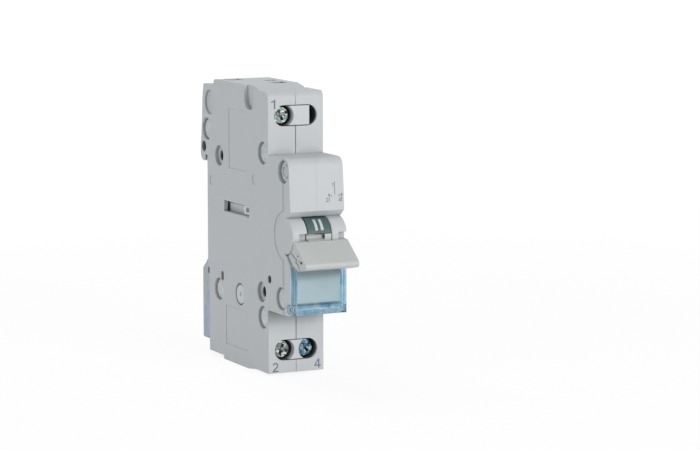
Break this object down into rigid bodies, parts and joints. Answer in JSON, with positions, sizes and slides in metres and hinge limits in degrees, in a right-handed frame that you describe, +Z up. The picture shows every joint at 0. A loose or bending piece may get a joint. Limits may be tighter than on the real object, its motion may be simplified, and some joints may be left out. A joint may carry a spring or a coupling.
{
  "type": "modular changeover switch",
  "caption": "One-module rail-mounted changeover switch with a toggle lever, a position drum, screw terminals, a hinged clear label cover and a sprung rail clip.",
  "frame": {"origin": "middle of the rear seat that lies on the mounting rail, at mid-width and on the rail's centre line", "axes": "+X to the right seen from the front, the front faces -Y, +Z up along the height"},
  "size_m": [0.0176, 0.0736, 0.0834],
  "materials": {
    "case_grey": "fine moulded texture, light grey",
    "lever_grey": "satin, slightly darker grey",
    "slide_grey": "satin grey",
    "key_white": "satin white",
    "drum_teal": "satin dark teal",
    "clear_blue": "clear pale blue plastic",
    "card_white": "pale card",
    "rivet_steel": "zinc-plated steel",
    "screw_zinc": "zinc-plated steel",
    "cage_zinc": "zinc-plated steel",
    "zinc_steel": "blue-grey zinc-plated sheet",
    "spring_steel": "spring steel",
    "pin_steel": "ground steel",
    "copper": "bare copper",
    "silver": "silver contact alloy"
  },
  "bodies": {
    "case": {"left_shell": "case_grey", "right_shell": "case_grey", "rivets": "rivet_steel", "top_partition": "case_grey", "bottom_partition": "case_grey", "common_strip": "copper", "contact_strip_2": "copper", "contact_strip_4": "copper", "fixed_tip_2": "silver", "fixed_tip_4": "silver", "blade_pin": "pin_steel", "lever_pin": "pin_steel", "detent_leaf": "spring_steel", "clip_spring": "spring_steel"},
    "lever": {"lever_body": "lever_grey", "lever_cap": "lever_grey", "position_drum": "drum_teal"},
    "slide": {"contact_slide": "slide_grey", "coupler_key": "key_white"},
    "blade": {"contact_blade": "copper", "moving_tips": "silver"},
    "label": {"label_holder": "clear_blue", "label_card": "card_white"},
    "clip": {"rail_clip": "zinc_steel"},
    "screw_1": {"terminal_screw_1": "screw_zinc"},
    "cage_1": {"clamp_cage_1": "cage_zinc"},
    "screw_2": {"terminal_screw_2": "screw_zinc"},
    "cage_2": {"clamp_cage_2": "cage_zinc"},
    "screw_4": {"terminal_screw_4": "screw_zinc"},
    "cage_4": {"clamp_cage_4": "cage_zinc"}
  },
  "joints": [
    {"name": "lever_turn", "type": "hinge", "parent": "case", "child": "lever", "pos_m": [0, -0.055, 0.0004], "axis": [-1, 0, 0], "range_deg": [0, 60]},
    {"name": "slide_travel", "type": "slide", "parent": "case", "child": "slide", "axis": [0, 1, 0], "range_m": [0, 0.0028]},
    {"name": "blade_swing", "type": "hinge", "parent": "case", "child": "blade", "pos_m": [0, -0.02139, 0.013], "axis": [1, 0, 0], "range_deg": [0, 15.78]},
    {"name": "label_hinge", "type": "hinge", "parent": "case", "child": "label", "pos_m": [0, -0.0574, -0.0206], "axis": [1, 0, 0], "range_deg": [0, 70]},
    {"name": "clip_pull", "type": "slide", "parent": "case", "child": "clip", "axis": [0, 0, -1], "range_m": [0, 0.0045], "stiffness_N_per_m": 1500, "springref_m": -0.002, "deforming": ["clip_spring"]},
    {"name": "cage_draw_1", "type": "slide", "parent": "case", "child": "cage_1", "axis": [0, -1, 0], "range_m": [0, 0.0046]},
    {"name": "screw_turn_1", "type": "hinge", "parent": "case", "child": "screw_1", "pos_m": [-0.00375, -0.04, 0.0336], "axis": [0, 1, 0], "range_deg": [0, 2366]},
    {"name": "cage_draw_2", "type": "slide", "parent": "case", "child": "cage_2", "axis": [0, -1, 0], "range_m": [0, 0.0046]},
    {"name": "screw_turn_2", "type": "hinge", "parent": "case", "child": "screw_2", "pos_m": [-0.00375, -0.04, -0.0346], "axis": [0, 1, 0], "range_deg": [0, 2366]},
    {"name": "cage_draw_4", "type": "slide", "parent": "case", "child": "cage_4", "axis": [0, -1, 0], "range_m": [0, 0.0046]},
    {"name": "screw_turn_4", "type": "hinge", "parent": "case", "child": "screw_4", "pos_m": [0.00375, -0.04, -0.0346], "axis": [0, 1, 0], "range_deg": [0, 2366]}
  ],
  "couplings": [
    {"joint": "slide_travel", "follows": "lever_turn", "m_per_rad": 0.0026738},
    {"joint": "blade_swing", "follows": "lever_turn", "ratio": 0.26306},
    {"joint": "screw_turn_1", "follows": "cage_draw_1", "rad_per_m": 8976},
    {"joint": "screw_turn_2", "follows": "cage_draw_2", "rad_per_m": 8976},
    {"joint": "screw_turn_4", "follows": "cage_draw_4", "rad_per_m": 8976}
  ]
}
